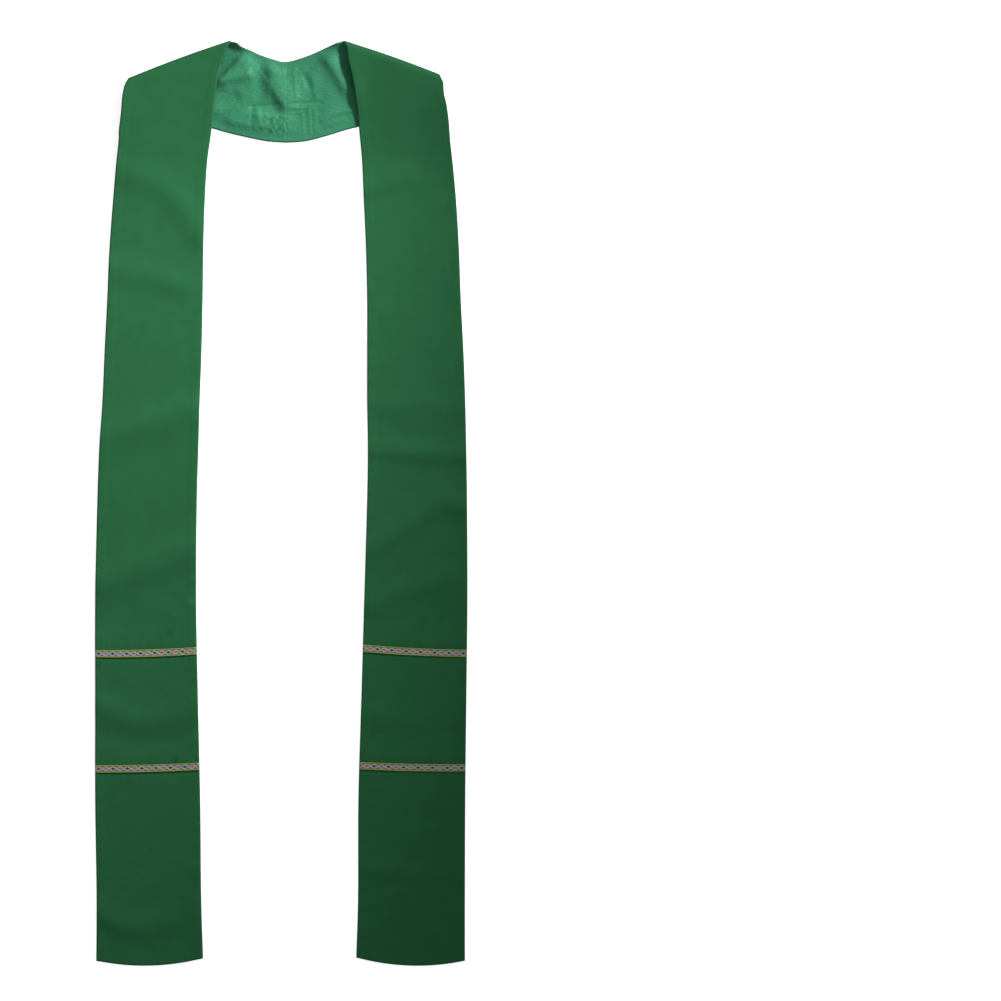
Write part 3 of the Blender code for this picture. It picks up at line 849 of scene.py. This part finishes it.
def yarn_material(name, color, dash_color, dash, roughness, twist):
    """Twisted yarn: stripes that lean along it, one twist apart, and dashes of a second colour."""
    material, tree, shader = new_material(name, color, {"Roughness": roughness, "Metallic": 0.12})
    around, along = flat_places(tree)
    leaning = calc(tree, "ADD", along, calc(tree, "MULTIPLY", around, 0.6))
    turns = stripes(tree, leaning, twist)
    in_dash = calc(tree, "GREATER_THAN", stripes(tree, along, dash), 0.72)
    dashed = choose_color(tree, in_dash, color, dash_color)
    tree.links.new(toned(tree, dashed, turns, 0.34), shader.inputs["Base Color"])
    add_bump(tree, shader, turns, depth=0.0002, strength=0.6)
    return material


def zigzag(places, repeat):
    """A triangle wave from -1 to 1 along the braid."""
    turn = np.mod(places / repeat, 1.0)
    return 1.0 - 4.0 * np.abs(turn - 0.5)


def from_centre(tree, along, spacing, shift):
    """Distance along the braid to the nearest of the places that lie one spacing apart."""
    moved = calc(tree, "ADD", along, (100.5 * spacing) - shift)
    turn = calc(tree, "FRACT", calc(tree, "DIVIDE", moved, spacing))
    return calc(tree, "MULTIPLY", calc(tree, "ABSOLUTE", calc(tree, "SUBTRACT", turn, 0.5)), spacing)


def inside_diamond(tree, along, aside, half_length, half_width):
    """A mask that is 1 inside a diamond of this size."""
    lengthwise = calc(tree, "DIVIDE", along, half_length)
    widthwise = calc(tree, "DIVIDE", aside, half_width)
    return calc(tree, "LESS_THAN", calc(tree, "ADD", lengthwise, widthwise), 1.0)


def ribbon_material(sizes, colours):
    """Ground of the braid: grey warp, darkened as painted shade between the yarns, with slate and rose diamonds
    by turns and a yellow selvedge.
    """
    material, tree, shader = new_material("braid_ground", colours.silver, {"Roughness": 0.6})
    along, across = flat_places(tree)
    aside = calc(tree, "ABSOLUTE", across)
    lower = calc(tree, "ABSOLUTE", calc(tree, "SUBTRACT", across, 0.0009))
    repeat = sizes.braid_repeat
    to_slate = from_centre(tree, along, repeat, 0.0)
    to_rose = from_centre(tree, along, repeat, repeat / 2.0)
    to_strong = from_centre(tree, along, 2.0 * repeat, repeat / 2.0)
    # Grey of the ground: partly the warp's own colour, partly painted shade between the yarns, darker than the
    # silver zigzag
    color = (0.150, 0.165, 0.160, 1.0)
    for distance, height, half_length, half_width, paint in (
        (to_slate, aside, 0.0046, 0.0038, (0.190, 0.250, 0.280, 1.0)),
        (to_rose, aside, 0.0040, 0.0036, (0.330, 0.210, 0.200, 1.0)),
        (to_slate, aside, 0.0028, 0.0021, colours.slate),
        (to_rose, lower, 0.0020, 0.0015, colours.rose),
        (to_strong, lower, 0.0036, 0.0027, colours.rose),
    ):
        inside = inside_diamond(tree, distance, height, half_length, half_width)
        color = choose_color(tree, inside, color, paint)
    in_selvedge = calc(tree, "GREATER_THAN", aside, sizes.braid_width / 2.0 - 0.0018)
    color = choose_color(tree, in_selvedge, color, (0.170, 0.215, 0.030, 1.0))
    threads = stripes(tree, along, 0.0009)
    tree.links.new(toned(tree, color, threads, 0.25), shader.inputs["Base Color"])
    add_bump(tree, shader, threads, depth=0.0002, strength=0.5)
    return material


def thread_material(name, color):
    """Sewing thread, a little uneven in tone."""
    material, tree, shader = new_material(name, color, {"Roughness": 0.6})
    grain = noise(tree, body_places(tree), (900.0, 900.0, 900.0))
    uneven_tone = calc(tree, "SUBTRACT", grain, 0.5)
    tree.links.new(toned(tree, color, uneven_tone), shader.inputs["Base Color"])
    add_bump(tree, shader, grain, depth=0.0001, strength=0.5)
    return material


def shell_depth(sizes, side):
    """Depth of the middle of the outer cloth: its edges turn in over the lining."""
    def depth(plan, place, edge, hem):
        relief = cloth_relief(sizes, side, plan, place, edge, hem)
        turned = np.maximum(curl(edge, OUTER_TURN), curl(hem, OUTER_TURN))
        return SHELL_WALL / 2.0 - relief + turned
    return depth


def yoke_shell_depth(plan, place, edge, seam):
    return SHELL_WALL / 2.0 + np.maximum(curl(edge, YOKE_TURN), curl(seam, YOKE_TURN / 2.0))


def lining_depth(plan, place, edge, hem):
    """Depth of the middle of the lining: its edges turn in towards the outer cloth."""
    return LINING_SHEET_DEPTH - curl(edge, LINING_TURN)


def lay_halves(name, layer, wall, material, surface):
    """Makes both halves of a layer, each as one sheet in place of its three solids."""
    for side in SIDES:
        points, flat = surface(side)
        piece = add_sheet(f"{name}_{side}", points, flat, wall, material)
        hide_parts(*(f"{layer}_{side}_{stretch}" for stretch in ("yoke", "shoulder", "front")))


class STOLE_OT_outer_cloth(bpy.types.Operator):
    """Makes both halves of the outer cloth, from the centre back seam over the shoulders to the hems"""

    bl_idname = "stole.outer_cloth"
    bl_label = "Outer cloth"

    def execute(self, context):
        sizes = context.scene.stole_sizes
        material = outer_cloth_material(sizes, context.scene.stole_colours)

        def surface(side):
            front_depth = shell_depth(sizes, side)
            return strip_surface(sizes, side, OUTER_STEPS, yoke_shell_depth, front_depth, OUTER_MARGIN, False)

        lay_halves("outer_cloth", "shell", SHELL_WALL, material, surface)
        return {"FINISHED"}


class STOLE_OT_lining(bpy.types.Operator):
    """Makes both halves of the satin lining"""

    bl_idname = "stole.lining"
    bl_label = "Lining"

    def execute(self, context):
        sizes = context.scene.stole_sizes
        material = lining_material(sizes, context.scene.stole_colours)

        def surface(side):
            return strip_surface(sizes, side, LINING_STEPS, lining_depth, lining_depth, LINING_MARGIN, True)

        lay_halves("lining", "lining", LINING_SHEET_WALL, material, surface)
        return {"FINISHED"}


def braid_surface(sizes, side, level):
    """A function that gives points of a band from places along it, across it and above the cloth."""
    band = BANDS[(side, level)]
    run = RUNS[(side, "front")]
    on_cloth = shell_depth(sizes, side)

    def surface(along, aside, above):
        down = band_middle(band, along) + aside
        distance = np.interp(down, run.sections[1:, 1], run.distances[1:])

        def depth(plan, place, edge, hem):
            return on_cloth(plan, place, edge, hem) - SHELL_WALL / 2.0 - above

        return front_points(sizes, side, distance, along, depth, OUTER_MARGIN)

    return surface


def cross_surface(x_from, y_from, x_to, y_to):
    """The same for a straight braid of the cross, which faces the floor."""
    start, end = np.array([x_from, y_from]), np.array([x_to, y_to])
    run = (end - start) / np.linalg.norm(end - start)
    aside_way = np.array([-run[1], run[0]])

    def surface(along, aside, above):
        plan = blend(start, end, along[..., None]) + aside[..., None] * aside_way
        return np.concatenate([plan, (BRAID_WALL - above)[..., None]], axis=-1) * MM

    return surface


def add_tube(surface, length, path, width, height, step):
    """A flat yarn on a braid. Its path gives the place aside and above for each place along."""
    around = np.linspace(0.0, math.tau, 9)[None, :]
    count = max(round(length / step), 4)
    along = np.linspace(0.0, 1.0, count)[:, None] + 0.0 * around
    aside, above = path(along)
    aside = aside + width / 2.0 * np.cos(around)
    above = above + height / 2.0 * (1.0 + np.sin(around))
    points = surface(along, aside, above)
    flat = np.stack([around / math.tau * width * 3.0 + 0.0 * along, along * length], axis=-1) * MM
    return points, flat


def add_yarns(name, strands, material):
    """One piece of several closed yarns, each a grid rolled into a tube."""
    whole = bmesh.new()
    for points, flat in strands:
        strand = grid_mesh("strand", points, flat)
        whole.from_mesh(strand)
        bpy.data.meshes.remove(strand)
    bmesh.ops.remove_doubles(whole, verts=whole.verts, dist=0.00002)
    bmesh.ops.holes_fill(whole, edges=[edge for edge in whole.edges if edge.is_boundary], sides=0)
    bmesh.ops.recalc_face_normals(whole, faces=whole.faces)
    add_piece(name, to_mesh(whole, name), material)


def make_braid(sizes, materials, node, surface, length):
    """A braid: its ribbon, zigzag yarns that pass over each other by turns, and a gold yarn at each edge."""
    ground, silver, gold = materials
    half = sizes.braid_width / MM / 2.0
    repeat = sizes.braid_repeat / MM
    columns = max(round(length / 1.2), 2)
    along = np.linspace(0.0, 1.0, columns + 1)[None, :] + np.zeros((7, 1))
    aside = np.linspace(RIBBON_INSET - half, half - RIBBON_INSET, 7)[:, None] + 0.0 * along
    points = surface(along, aside, RIBBON_RISE + 0.0 * along)
    flat = np.stack([along * length, aside], axis=-1) * MM
    ribbon = add_sheet(f"{node}_braid_ribbon", points, flat, RIBBON_WALL, ground)
    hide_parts(node)
    zigzags, rims = [], []
    for sign in (1.0, -1.0):
        for shift in (-ZIGZAG_SHIFT, ZIGZAG_SHIFT):
            def zigzag_path(places, sign=sign, shift=shift):
                wave = zigzag(places * length + shift, repeat)
                over = np.cos(math.tau * places * length / repeat)
                return sign * wave * (half - ZIGZAG_INSET), 0.40 + 0.16 * sign * over
            zigzags.append(add_tube(surface, length, zigzag_path, ZIGZAG_WIDTH, ZIGZAG_HEIGHT, 0.8))

        def rim_path(places, sign=sign):
            return sign * (half - RIM_INSET) + 0.0 * places, 0.2 + 0.0 * places
        rims.append(add_tube(surface, length, rim_path, RIM_WIDTH, RIM_HEIGHT, 2.0))
    add_yarns(f"{node}_braid_zigzag", zigzags, silver)
    add_yarns(f"{node}_braid_edges", rims, gold)


def braid_materials(sizes, colours):
    ground = ribbon_material(sizes, colours)
    silver = yarn_material("silver_yarn", colours.silver, colours.silver, dash=0.01, roughness=0.45,
                           twist=1.0 / 900.0)
    gold = yarn_material("gold_yarn", colours.gold, colours.orange, dash=0.0031, roughness=0.5,
                         twist=1.0 / 420.0)
    return ground, silver, gold


class STOLE_OT_bands(bpy.types.Operator):
    """Makes the four bands of woven braid that cross the fronts"""

    bl_idname = "stole.bands"
    bl_label = "Bands"

    def execute(self, context):
        sizes, colours = context.scene.stole_sizes, context.scene.stole_colours
        materials = braid_materials(sizes, colours)
        for side, level in BANDS:
            surface = braid_surface(sizes, side, level)
            make_braid(sizes, materials, f"band_{side}_{level}", surface, BAND_LENGTH)
        return {"FINISHED"}


def cross_lines(sizes):
    """The node of each braid of the cross, with the places of its start and its end."""
    half = sizes.braid_width / MM / 2.0
    top, foot, arm = (NECK_TOP_Y - down for down in (CROSS_TOP_DOWN, CROSS_FOOT_DOWN, CROSS_ARM_DOWN))
    lines = {"cross_upright": (SEAM_X, top, SEAM_X, foot)}
    for side, sign in SIDES.items():
        near = SEAM_X + sign * (half + CROSS_ARM_GAP)
        lines[f"cross_arm_{side}"] = (near, arm, SEAM_X + sign * CROSS_ARM_REACH[side], arm)
    return lines


class STOLE_OT_cross(bpy.types.Operator):
    """Makes the cross of the same braid, sewn to the outside of the yoke"""

    bl_idname = "stole.cross"
    bl_label = "Cross"

    def execute(self, context):
        sizes, colours = context.scene.stole_sizes, context.scene.stole_colours
        materials = braid_materials(sizes, colours)
        for node, (x_from, y_from, x_to, y_to) in cross_lines(sizes).items():
            surface = cross_surface(x_from, y_from, x_to, y_to)
            make_braid(sizes, materials, node, surface, math.hypot(x_to - x_from, y_to - y_from))
        return {"FINISHED"}


def seat_on(piece, from_below):
    """A function that finds a piece's surface at a place in plan, as seen from above or from below."""
    bpy.context.view_layer.update()
    tree = BVHTree.FromObject(piece, bpy.context.evaluated_depsgraph_get())
    start, way = (-0.1, 1.0) if from_below else (0.1, -1.0)

    def seat(x, y):
        found = tree.ray_cast(Vector((x, y, start)), Vector((0.0, 0.0, way)))[0]
        if found is None:
            raise ValueError(f"a stitch lies off {piece.name}, at {x:.4f}, {y:.4f}")
        return found

    return seat


def add_stitches(name, sizes, lines, thickness, material):
    """One piece of short stitches. Each line has the surface that it is sewn to, its path and its length."""
    whole = bmesh.new()
    line_mesh = bpy.data.meshes.new("stitch_line")
    for seat, path, length in lines:
        line = bmesh.new()
        count = max(round(length * MM / sizes.stitch), 1)
        for number in range(count):
            start, end = (seat(*path((number + share) / count)) for share in (0.14, 0.86))
            along = end - start
            turn = along.to_track_quat("X", "Z").to_matrix().to_4x4()
            shape = Matrix.Diagonal((along.length, thickness * MM, thickness * MM * 0.8, 1.0))
            matrix = Matrix.Translation((start + end) / 2.0) @ turn @ shape
            bmesh.ops.create_uvsphere(line, u_segments=6, v_segments=4, radius=0.5, matrix=matrix)
        line.to_mesh(line_mesh)
        line.free()
        whole.from_mesh(line_mesh)
    bpy.data.meshes.remove(line_mesh)
    add_piece(name, to_mesh(whole, name), material)


def straight_line(x_from, y_from, x_to, y_to):
    """The path of a straight stitch line, and its length."""
    def path(share):
        return blend(x_from, x_to, share) * MM, blend(y_from, y_to, share) * MM
    return path, math.hypot(x_to - x_from, y_to - y_from)


def band_line(sizes, side, level, aside):
    """The path of a stitch line beside the middle of a band, and its length."""
    surface = braid_surface(sizes, side, level)

    def path(share):
        point = surface(np.array([blend(0.02, 0.98, share)]), np.array([aside]), np.array([0.0]))[0]
        return point[0], point[1]

    return path, BAND_SEAM_LENGTH


def rectangle_lines(seat, left, top, right, bottom):
    corners = [(left, top), (right, top), (right, bottom), (left, bottom), (left, top)]
    return [(seat, *straight_line(*start, *end)) for start, end in zip(corners, corners[1:])]


class STOLE_OT_stitching(bpy.types.Operator):
    """Sews the bands and the cross on: stitches in the braid's edges, and their lines on the lining"""

    bl_idname = "stole.stitching"
    bl_label = "Stitching"

    def execute(self, context):
        sizes, colours = context.scene.stole_sizes, context.scene.stole_colours
        inset = sizes.braid_width / MM / 2.0 - SEAM_INSET
        in_front, behind, around = [], [], []
        for side, level in BANDS:
            on_braid = seat_on(bpy.data.objects[f"band_{side}_{level}_braid_edges"], False)
            on_lining = seat_on(bpy.data.objects[f"lining_{side}"], True)
            for sign in (-1.0, 1.0):
                line = band_line(sizes, side, level, sign * inset)
                in_front.append((on_braid, *line))
                behind.append((on_lining, *line))
        crossing = cross_lines(sizes)
        top, foot = crossing["cross_upright"][1::2]
        for side, sign in SIDES.items():
            seat = seat_on(bpy.data.objects[f"lining_{side}"], False)
            edge = SEAM_X + sign * inset
            around.append((seat, *straight_line(edge, top - SEAM_INSET, edge, foot + SEAM_INSET)))
            near, arm, far, _ = crossing[f"cross_arm_{side}"]
            shift = sign * SEAM_INSET
            around += rectangle_lines(seat, near + shift, arm + inset, far - shift, arm - inset)
        gold = thread_material("gold_thread", colours.gold)
        green = thread_material("green_thread", colours.thread)
        add_stitches("stitches_bands", sizes, in_front, BRAID_THREAD, gold)
        add_stitches("stitches_bands_behind", sizes, behind, LINING_THREAD, green)
        add_stitches("stitches_cross_behind", sizes, around, LINING_THREAD, green)
        return {"FINISHED"}


def floor_material(colours):
    material, tree, shader = new_material("studio_floor", colours.floor, {"Roughness": 0.9})
    seen = tree.nodes.new("ShaderNodeLightPath")
    tree.links.new(seen.outputs["Is Camera Ray"], shader.inputs["Emission Color"])
    shader.inputs["Emission Strength"].default_value = FLOOR_GLOW
    grain = noise(tree, body_places(tree), (240.0, 240.0, 240.0))
    add_bump(tree, shader, grain, depth=0.0002, strength=0.1)
    return material


class STOLE_OT_stage(bpy.types.Operator):
    """Makes the pale floor, the soft studio light and the camera above the stole"""

    bl_idname = "stole.stage"
    bl_label = "Stage"

    def execute(self, context):
        scene = context.scene
        grid = bmesh.new()
        bmesh.ops.create_grid(grid, x_segments=4, y_segments=4, size=FLOOR_REACH)
        floor = to_mesh(grid, "floor")
        floor.materials.append(floor_material(scene.stole_colours))
        add_object("floor", floor)
        light = bpy.data.lights.new("key_light", "AREA")
        light.shape = "DISK"
        light.size = KEY_SIZE
        light.energy = KEY_POWER
        light.spread = KEY_SPREAD
        key = add_object("key_light", light)
        key.location = KEY_PLACE
        key.rotation_euler = (Vector(KEY_AIM) - Vector(KEY_PLACE)).to_track_quat("-Z", "Y").to_euler()
        lens = bpy.data.cameras.new("camera")
        lens.sensor_width = 36.0
        lens.lens = CAMERA_LENS
        lens.clip_end = 100.0
        scene.camera = add_object("camera", lens)
        scene.camera.location = CAMERA_PLACE
        scene.world = bpy.data.worlds.new("studio")
        scene.world.use_nodes = True
        sky = scene.world.node_tree.nodes["Background"].inputs
        sky["Color"].default_value = (1.0, 1.0, 1.0, 1.0)
        sky["Strength"].default_value = FILL_STRENGTH
        scene.view_settings.view_transform = "Standard"
        return {"FINISHED"}


class STOLE_PT_panel(bpy.types.Panel):
    """Lists the pieces of the stole, their sizes and their colours"""

    bl_idname = "STOLE_PT_panel"
    bl_label = "Clerical stole"
    bl_space_type = "VIEW_3D"
    bl_region_type = "UI"
    bl_category = "Stole"

    def draw(self, context):
        for operator in OPERATORS:
            self.layout.operator(operator.bl_idname)
        for group in (context.scene.stole_sizes, context.scene.stole_colours):
            column = self.layout.column()
            for name in group.bl_rna.properties.keys():
                if name not in ("rna_type", "name"):
                    column.prop(group, name)


OPERATORS = (
    STOLE_OT_stage,
    STOLE_OT_outer_cloth,
    STOLE_OT_lining,
    STOLE_OT_bands,
    STOLE_OT_cross,
    STOLE_OT_stitching,
)
CLASSES = (StoleSizes, StoleColours, *OPERATORS, STOLE_PT_panel)


def register():
    for cls in CLASSES:
        bpy.utils.register_class(cls)
    bpy.types.Scene.stole_sizes = PointerProperty(type=StoleSizes)
    bpy.types.Scene.stole_colours = PointerProperty(type=StoleColours)


def unregister():
    del bpy.types.Scene.stole_colours
    del bpy.types.Scene.stole_sizes
    for cls in reversed(CLASSES):
        bpy.utils.unregister_class(cls)


def main():
    register()
    bpy.ops.stole.stage()
    bpy.ops.stole.outer_cloth()
    bpy.ops.stole.lining()
    bpy.ops.stole.bands()
    bpy.ops.stole.cross()
    bpy.ops.stole.stitching()


if __name__ == "__main__":
    main()
